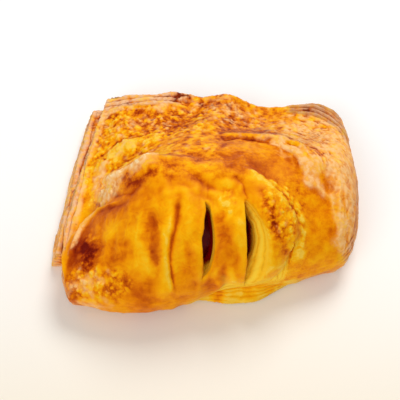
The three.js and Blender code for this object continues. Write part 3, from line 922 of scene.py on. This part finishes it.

# %% [markdown]
# ## Browning and painted shade
# The oven browns what stands up and what caught the egg wash, and leaves cut faces and sheltered edges
# pale. Noise, spots and lines are added up; the lines along creases and under folds, the hollows and the
# sides facing the window lamp are darkened as painted shade. Where many overlap the sum would turn black,
# so above a knee it grows only half as fast, and the few burnt spots come after that. The flap and the
# crest were pulled smooth and stay calm, with less grain than the back.

# %% Brown patches and painted shade
BASE_BROWNING = 0.47
BROWN_SPOTS = [
    (-47, -22, 4, 4, 0.14), (-43, -20, 4, 3, 0.14), (-33, -20, 6, 3.6, 0.2),
    (-38, -28, 3.4, 4, -0.24), (-35, -39, 4, 4.6, 0.2), (-42, -39, 3, 3, 0.14),
    (-21.5, -31, 3, 5, 0.32), (-20.5, -40, 3, 4.6, 0.34), (-24, -51, 6, 4, 0.42),
    (-34, -50, 5, 3, 0.12), (-47, -47, 5.5, 4, -0.16), (-54, -40, 3, 5, 0.14),
    (-6, -43, 2.4, 5, 0.14), (-6, -26, 3, 6, -0.12), (5, -23, 2.6, 3, -0.14),
    (9, -27, 2.4, 4, -0.16), (5.5, -34, 2.4, 8, 0.28), (9, -37, 2, 5, 0.16),
    (6, -45, 2.4, 3.6, 0.36), (13.5, -30, 2, 14, -0.2), (-12, -17, 8, 3, -0.08),
    (-14, -7, 4, 6, 0.12), (-5, -11, 3, 3, 0.2), (15, 0, 10, 7, 0.25), (-34, 6, 11, 4, -0.24),
    (14, -8, 8, 4, 0.12), (17, 24, 10, 6, 0.16), (46.5, -17, 4, 4, -0.12), (-39, -17, 4, 2.8, 0.3),
    (10, 36, 12, 10, 0.14), (-28, 32, 20, 14, 0.1), (47, 7, 4, 3, 0.1), (43, 39, 7, 3, 0.1),
    (-30, -8, 6, 4, 0.16), (-26, -10, 6, 5, 0.12), (-41, -8, 4, 5, -0.2), (-38, 20, 12, 16, -0.18),
    (-49, -4, 4, 8, -0.3), (-53, -13, 4, 6, -0.24), (34, -36, 5, 6, -0.22), (-24, 34, 7, 4, 0.14),
    (-12, 32, 6, 5, 0.1), (-28, 28, 4, 3, 0.1), (60, 36, 5, 6, 0.12), (8, 44, 10, 7, 0.16),
]
BURNT_SPOTS = [
    (-49.5, -30, 3.2, 4, 0.48), (-49.5, -36, 3, 4, 0.5), (-46, -33, 3.6, 4.5, 0.32),
    (-11, 50, 8, 2.6, 0.66),
]
# The groove, pleat, crease and swell-back lines here darken creases and fold undersides: painted shade.
# Each row: the line, its width and the amount.
BROWN_AND_SHADE_LINES = [
    (GROOVE, 1.6, 0.14), (PLEAT_DARK, 1.8, 0.26), (YELLOW_SWATH, 3, -0.26),
    (YELLOW_ROLL, 2.4, -0.1), (SOFT_GROOVE, 1, 0.12), (GROOVE_FLANK, 2, -0.12),
    (FLAP_RIM, 1.5, 0.26), (PLEAT_UNDER, 2.2, 0.1), (BROWN_BAND, 2.6, 0.2),
    (CREST_CREASE, 1.3, 0.26), (RIGHT_BACK_CREASE, 1.4, 0.3), (BUBBLY_RIDGE, 2.2, -0.25),
    (SECOND_SWELL, 3, -0.22), (SWELL_BACK, 1.6, 0.14), (CREST_LINE, 2.2, -0.12),
]
WINDOW_SIDE_SHADE = 0.32
BACK_BROWNING = -0.08
BROWN_KNEE = 0.65
BROWN_SOFTEN = 0.5
SPOT_WIDTH = 0.9
RIM_FLOOR = (6, 11)
RIGHT_FROM = (38, 44)
RIGHT_BACK = (-8, 4)
GRAINS = ((0.26, 1.6, 18), (0.34, 2.8, 20))
CREST_DOME = (22, 1, 19, 13, 0.8)
GRAIN_ZONES = [(-46, -46, 11, 8, 1), (-40, -7, 8, 5, 1), (-33, -3, 12, 5, 0.8), (29, -26, 6, 12, 0.7)]


def add_spots(values, places, spots):
    """Some amounts with those of soft oval spots added."""
    for x, y, wide, deep, amount in spots:
        values = values + amount * bell(near_spot(places, x, y, wide, deep), SPOT_WIDTH)
    return values


patchy = wander(wander(points, 2.2, 6.0, 11), 0.8, 2.2, 12)
at_right = fade(at_x, *RIGHT_FROM) * (1 - fade(at_y, *RIGHT_BACK))
calm = np.maximum(on_flap, 0.6 * at_right) * (1 - zone_amount(patchy, BLISTER_ZONES))
calm = np.maximum(calm, zone_amount(points, [CREST_DOME]))
rough = 1 - calm
browning_and_shade = BASE_BROWNING + 0.1 * ripple(points, 13.0, 13)
uneven_brown = 0.3 + 0.7 * rough
browning_and_shade += 0.24 * ripple(points, 4.5, 14) * uneven_brown
browning_and_shade += 0.14 * ripple(points, 2.0, 16) * uneven_brown
browning_and_shade += 0.06 * pulled_ripple(points, 3.0, 16.0, 17) * calm
grainy = np.maximum(rough * at_back, zone_amount(patchy, GRAIN_ZONES))
browning_and_shade += waves(points, GRAINS) * grainy
browning_and_shade = add_spots(browning_and_shade, patchy, BROWN_SPOTS)
for line, width, amount in BROWN_AND_SHADE_LINES:
    browning_and_shade += amount * bell(near_line(patchy, line), width)
# Upper sides that face the window lamp are darkened in colour: painted shade.
window_side = fade(np.maximum(0.7 * face_x, face_y), *STEEP)
window_side *= fade(at_z, *RIM_FLOOR) * (1 - 0.6 * strip)
browning_and_shade += WINDOW_SIDE_SHADE * window_side + BACK_BROWNING * fade(at_y, 2, 12)
# Blister tops are made paler: partly thinner crust, partly painted highlight.
tops = fade(blister_height, 0.1, 0.5)
slit_lip = fade(depth, 0.05, 0.4) * (1 - fade(depth, 1.0, 2.0))
browning_and_shade += 0.12 * wall * jut + 0.06 * blistered - 0.16 * tops - 0.2 * slit_lip - 0.3 * foot
# Hollows darker and ridges lighter: part egg wash, part painted shade and painted highlight.
browning_and_shade += np.clip(0.9 * hollow_fine, -0.1, 0.16) + np.clip(0.5 * hollow_broad, -0.1, 0.2)
browning_and_shade = np.minimum(browning_and_shade, BROWN_KNEE) + BROWN_SOFTEN * np.maximum(browning_and_shade - BROWN_KNEE, 0)
browning_and_shade = add_spots(browning_and_shade, patchy, BURNT_SPOTS)
print("browning from", browning_and_shade.min().round(2), "to", browning_and_shade.max().round(2))

# %% [markdown]
# Torn and dry leaves stay pale, most of all on the back lip and the right band, where the pale colour also
# paints the window's sheen on faces that look up. Golden spots are left out, and more contrast gives each
# patch a clear edge. The pleat's ridge and nose are painted nearly white, partly dry dough and partly
# painted light where they lie in shade, and the sides facing the window lamp get a dull painted shade.
# The material reads all these amounts from the points, where they are stored as attributes.

# %% Pale dough and painted sheen, cuts, and stains with painted shade
# Each row: the line, its sharp side, the two widths and the amount.
PALE_AND_SHEEN_LINES = [
    (PLEAT_TOP, LEFT_SIDE, 4, 0.8, 1),
    (BACK_LIP, RIGHT_SIDE, 5.5, 1.2, 1.4),
    (RIGHT_FOLD, RIGHT_SIDE, 3.4, 3.4, 0.8),
    (RIGHT_ARC, RIGHT_SIDE, 4, 1.6, 0.8),
    (FLAP_CORNER, RIGHT_SIDE, 1.4, 0.9, 1.2),
    (LEFT_FOLD, RIGHT_SIDE, 3, 0.7, 0.7),
]
PALE_AND_LIT_SPOTS = [
    (-59, 6, 6, 40, 0.95), (-44, 46, 12, 6, 1.4), (-20, 51, 26, 4, 0.65), (48, 20, 20, 30, 0.9),
    (61, -6, 6, 30, 1.3), (24, 19, 5, 6, 0.7), (20, 34, 14, 12, 0.35), (6, 43, 10, 8, 0.4),
    (-14, 34, 24, 16, 0.3), (-36, 26, 16, 20, 0.25), (-39.5, -8, 4.5, 5, 1.5), (-45, 1, 4, 9, 1.7),
    (-50, -45, 8, 5, 0.6), (-47, -53, 9, 3, 0.6), (-34, 34, 4, 5, 0.5), (-20, 28, 4, 3, 0.5),
    (-5, 44, 4, 3, 0.6),
]
GOLDEN_SPOTS = [(39, 11, 5, 3.5, 0.8), (43.5, 6, 6, 4, 0.95)]
# Spots on the pleat's nose are made lighter as painted light, where the pleat shades it.
NOSE_LIGHT_SPOTS = [(-44.5, -5, 3.4, 6, 0.6), (-38.5, -8.5, 3.5, 3.5, 0.6)]
DRY_AND_LIT_AMOUNT = 0.7
DRY_AND_LIT_RIDGE = 1.2
DRY_AND_LIT_FLOOR = (24, 28)
# Faces that look up catch the window's sheen, which the pale colour paints in.
LOOKING_UP = (0.1, 0.5)
PALE_LOST = (0.72, 0.9)
PALE_CONTRAST = 1.5
RIM_SHADE = 0.42
CORNER_SHADE = 0.36
MIDDLE_SLIT_X = 2.0
MIDDLE_SLIT_WIDTH = 4.5
MIDDLE_SLIT_Y = (-45, -38)
STAIN_AND_SHADE_DEPTH = 5.0
STAIN_AND_SHADE_RISE = 3.2
STAIN_AND_SHADE_BLEND = 3.0
STAIN_AND_SHADE_LOWER_END = (35, 41)


def store(piece, name, values):
    """Keep one number for each point of a piece, for its material to read."""
    layer = piece.data.attributes.new(name, "FLOAT", "POINT")
    layer.data.foreach_set("value", np.asarray(values, np.float32))


# Pale dough and painted sheen together; the lines reach only faces that look up toward the window.
pale = zone_amount(patchy, PALE_AND_LIT_SPOTS, 0.5, 1.2)
drifting = wander(points, 0.8, 12.0, 23)
for line, sharp_side, width, drop, amount in PALE_AND_SHEEN_LINES:
    gap, side, to_end = beside_line(drifting, line)
    reach = np.where(side == sharp_side, drop, width)
    line_pale = amount * bell(gap, reach) * fade(to_end, -1, 3)
    pale = np.maximum(pale, line_pale * fade(face_z, *LOOKING_UP))
pale *= 1 - zone_amount(patchy, GOLDEN_SPOTS)
pale *= 0.7 + 0.5 * ripple(points, 4.0, 15) + 0.8 * drawn_ripple(wandering, None, 12.0, 3.0, 19)
pale += 0.6 * np.clip(streaked - 0.3, 0, 1) * fade(face_z, 0.2, 0.6)
pale_grains = ripple(points, 2.4, 25)
pale += grainy * (np.clip(pale_grains - 0.15, 0, 1) + np.clip(pale_grains + 0.1, -1, 0))
pale = np.maximum(pale, np.maximum(wall * (1 - foot), strip) * (0.7 + 0.5 * jut))
# Less pale in hollows and more on ridges: painted shade and painted highlight.
pale *= 1 - np.clip(2.0 * hollow_fine + 1.2 * hollow_broad, -0.5, 0.8)
pale *= (1 - fade(browning_and_shade, *PALE_LOST)) * (1 - 0.35 * window_side)
pale = np.clip(0.5 + PALE_CONTRAST * (pale - 0.5), 0, 1)
# The pleat's ridge is made nearly white: partly dry dough, partly painted light on its shaded side.
pleat_dry_and_lit = bell(near_line(wandering, PLEAT_TOP), DRY_AND_LIT_RIDGE) * (0.9 + 0.5 * ripple(points, 3.0, 24))
pleat_dry_and_lit *= fade(at_z, *DRY_AND_LIT_FLOOR) * fade(face_z, *LOOKING_UP)
pleat_dry_and_lit = add_spots(pleat_dry_and_lit, wandering, NOSE_LIGHT_SPOTS)
# The window-facing sides and the back right corner strip are dulled by painted shade.
lit_side_shade = RIM_SHADE * window_side + CORNER_SHADE * corner_strip * skin
lit_side_shade *= 0.9 + 0.6 * ripple(points, 3.0, 26)
# Deep in the slits the crust is darkened to juice colour: part juice stain, part painted shade.
middle_slit = bell(at_x - MIDDLE_SLIT_X, MIDDLE_SLIT_WIDTH) * fade(at_y, *MIDDLE_SLIT_Y)
stain_and_shade_from = STAIN_AND_SHADE_DEPTH - STAIN_AND_SHADE_RISE * middle_slit
stain_and_shade_from += STAIN_AND_SHADE_DEPTH * fade(-at_y, *STAIN_AND_SHADE_LOWER_END) * (1 - middle_slit)
layered = np.maximum(np.maximum(wall, strip), 0.4 * fade(depth, 0.8, 2.0))
store(crust, "browning_and_shade", np.clip(browning_and_shade, 0, 1))
store(crust, "pale", pale + DRY_AND_LIT_AMOUNT * pleat_dry_and_lit)
store(crust, "lit_side_shade", np.clip(lit_side_shade, 0, 0.7))
store(crust, "speckle", 0.25 + 0.75 * rough)
store(crust, "cut", fade(depth, 0.6, 1.7))
store(crust, "stain_and_shade", fade(depth, stain_and_shade_from, stain_and_shade_from + STAIN_AND_SHADE_BLEND))
store(crust, "leaves", leaf_count)
store(crust, "layered", layered * (1 - 0.75 * foot))
print("pale on", int((pale > 0.3).sum()), "points, cut on", int((depth > 1).sum()))

# %% [markdown]
# ## Thinning the net
# The even net spends as many points on the flat underside as on the blisters. A Decimate modifier merges
# the flat places first, and keeps the stored amounts.

# %% Thin the net
CRUST_TRIANGLES = 192000

before = sum(len(face.vertices) - 2 for face in crust.data.polygons)
thin = crust.modifiers.new("thin", "DECIMATE")
thin.ratio = CRUST_TRIANGLES / before
bake_modifiers(crust)
crust.data.shade_smooth()
print("crust thinned from", before, "to", len(crust.data.polygons), "faces")

# %% [markdown]
# ## Crust finish
# Egg wash gives a golden skin with a satin shine that browns in patches. One ramp of colours from pale
# gold to burnt brown does the main work, driven by the stored browning and painted shade with finer
# mottling on top. Pale flaky dough with its painted sheen, the raw faces of the cuts, the dark lines
# between leaves, the painted shade on the sides facing the window and the juice stains, darkened further
# by painted shade deep in the slits, are laid over it one by one.

# %% Crust colours
BROWN_STEPS = [
    (0.00, ink(250, 204, 70)), (0.10, ink(250, 190, 28)), (0.22, ink(250, 176, 8)),
    (0.42, ink(240, 147, 4)), (0.56, ink(225, 122, 4)), (0.70, ink(196, 88, 5)),
    (0.85, ink(156, 48, 5)), (1.00, ink(108, 14, 5)),
]
# The pale and dry colours also paint the sheen and the light on the shaded pleat.
PALE_DOUGH_AND_SHEEN = ink(250, 197, 130)
DRY_AND_LIT_DOUGH = ink(255, 224, 172)
LEAF_DOUGH = ink(240, 192, 148)
CUT_DOUGH = ink(255, 196, 34)
CUT_EDGE = ink(255, 214, 62)
LEAF_GAP = ink(150, 74, 24)
# Dull brown-grey, used as painted shade on the window-facing sides.
LIT_SIDE_SHADE_COLOUR = ink(150, 84, 44)
# Dark juice colour, also the painted shade deep in the slits.
JUICE_AND_SHADE = ink(135, 6, 6)

crust_finish, tree, shader, place = new_material("baked crust")
fine = mottle(place, 420, 4.0)
grain = mottle(place, 1500, 3.0)
fine_shift = stretch(fine, 0.3, 0.7, -0.13, 0.13)
fine_shift = calculate("MULTIPLY", fine_shift, stored(tree, "speckle"))
grain_shift = stretch(grain, 0.3, 0.7, -0.07, 0.07)
grain_shift = calculate("MULTIPLY", grain_shift, stored(tree, "speckle"))
brown = calculate("ADD", stored(tree, "browning_and_shade"), fine_shift)
brown = calculate("ADD", brown, grain_shift)
ramp = add_node(tree, "ShaderNodeValToRGB", {"Fac": brown})
stops = ramp.color_ramp.elements
while len(stops) < len(BROWN_STEPS):
    stops.new(0.5)
for stop, (position, colour) in zip(stops, BROWN_STEPS):
    stop.position = position
    stop.color = colour

flecks = stretch(fine, 0.38, 0.62, 0.3, 1.05)
pale_patches = calculate("MULTIPLY", stored(tree, "pale"), flecks)
dough = blend_colours(stretch(pale_patches, 1.0, 1.6), PALE_DOUGH_AND_SHEEN, DRY_AND_LIT_DOUGH)
dough = blend_colours(stored(tree, "layered"), dough, LEAF_DOUGH)
colour = blend_colours(pale_patches, ramp.outputs["Color"], dough)
edges = calculate("PINGPONG", stored(tree, "leaves"), 0.5)
leaf_lines = stretch(edges, 0.05, 0.42)
raw_dough = blend_colours(leaf_lines, CUT_DOUGH, CUT_EDGE)
colour = blend_colours(stored(tree, "cut"), colour, raw_dough)
side_lines = stretch(edges, 0.02, 0.16, 0.55, 0.0)
side_lines = calculate("MULTIPLY", side_lines, stored(tree, "layered"))
side_lines = calculate("MULTIPLY", side_lines, stretch(fine, 0.35, 0.6, 0.3, 1.0))
colour = blend_colours(side_lines, colour, LEAF_GAP)
colour = blend_colours(stored(tree, "lit_side_shade"), colour, LIT_SIDE_SHADE_COLOUR)
colour = blend_colours(stored(tree, "stain_and_shade"), colour, JUICE_AND_SHADE)
tree.links.new(colour, shader.inputs["Base Color"])
print("crust colours from", len(BROWN_STEPS), "browning steps")

# %% Crust shine and fine bumps
matt = stretch(pale_patches, 0.1, 0.8, 0.38, 0.6)
tree.links.new(matt, shader.inputs["Roughness"])
shader.inputs["Specular IOR Level"].default_value = 0.08
shader.inputs["Specular Tint"].default_value = (1.0, 0.72, 0.22, 1)
leaf_relief = calculate("MULTIPLY", edges, stored(tree, "layered"))
relief = calculate("ADD", leaf_relief, calculate("MULTIPLY", grain, 0.5))
relief = calculate("ADD", relief, calculate("MULTIPLY", fine, 0.5))
bump = add_node(tree, "ShaderNodeBump", {"Height": relief, "Strength": 0.7, "Distance": 0.4 * MM})
tree.links.new(bump.outputs["Normal"], shader.inputs["Normal"])
dress(crust, crust_finish)
print("crust finish has", len(tree.nodes), "nodes")

# %% [markdown]
# ## Fruit
# Under the flap lie soft pieces of cooked fruit in dark juice. Only a sliver shows in each open slit, so
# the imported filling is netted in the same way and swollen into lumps, with a wet shine.

# %% Fruit pieces
FRUIT_NET = 0.8 * MM
FRUIT_LUMP = 8.0

fruit = merged_copy("filling", "fruit")
fine_net(fruit, FRUIT_NET)
fruit_points = points_of(fruit)
lumps = domes(fruit_points, FRUIT_LUMP, 1.0, 21)
fruit_move = 0.5 * (lumps - 0.9) + 0.12 * ripple(fruit_points, 2.5, 22)
move_points(fruit, fruit_points + normals_of(fruit) * fruit_move[:, None])
store(fruit, "lump", lumps)
fruit.data.shade_smooth()
print("fruit net of", len(fruit.data.vertices), "points")

# %% Fruit finish
fruit_finish, tree, shader, place = new_material("cooked fruit")
pulp = mottle(place, 500, 4.0)
ripe = calculate("MULTIPLY", stored(tree, "lump"), stretch(pulp, 0.3, 0.7))
flesh = blend_colours(ripe, ink(146, 5, 6), ink(176, 40, 8))
tree.links.new(flesh, shader.inputs["Base Color"])
shader.inputs["Roughness"].default_value = 0.3
shader.inputs["Specular IOR Level"].default_value = 0.2
bump = add_node(tree, "ShaderNodeBump", {"Height": pulp, "Strength": 0.4, "Distance": 0.4 * MM})
tree.links.new(bump.outputs["Normal"], shader.inputs["Normal"])
dress(fruit, fruit_finish)
print("fruit finish has", len(tree.nodes), "nodes")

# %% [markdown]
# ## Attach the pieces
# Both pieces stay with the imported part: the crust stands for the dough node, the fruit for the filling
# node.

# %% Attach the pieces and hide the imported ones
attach(crust, "root")
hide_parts("pastry")
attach(fruit, "root")
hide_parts("filling")
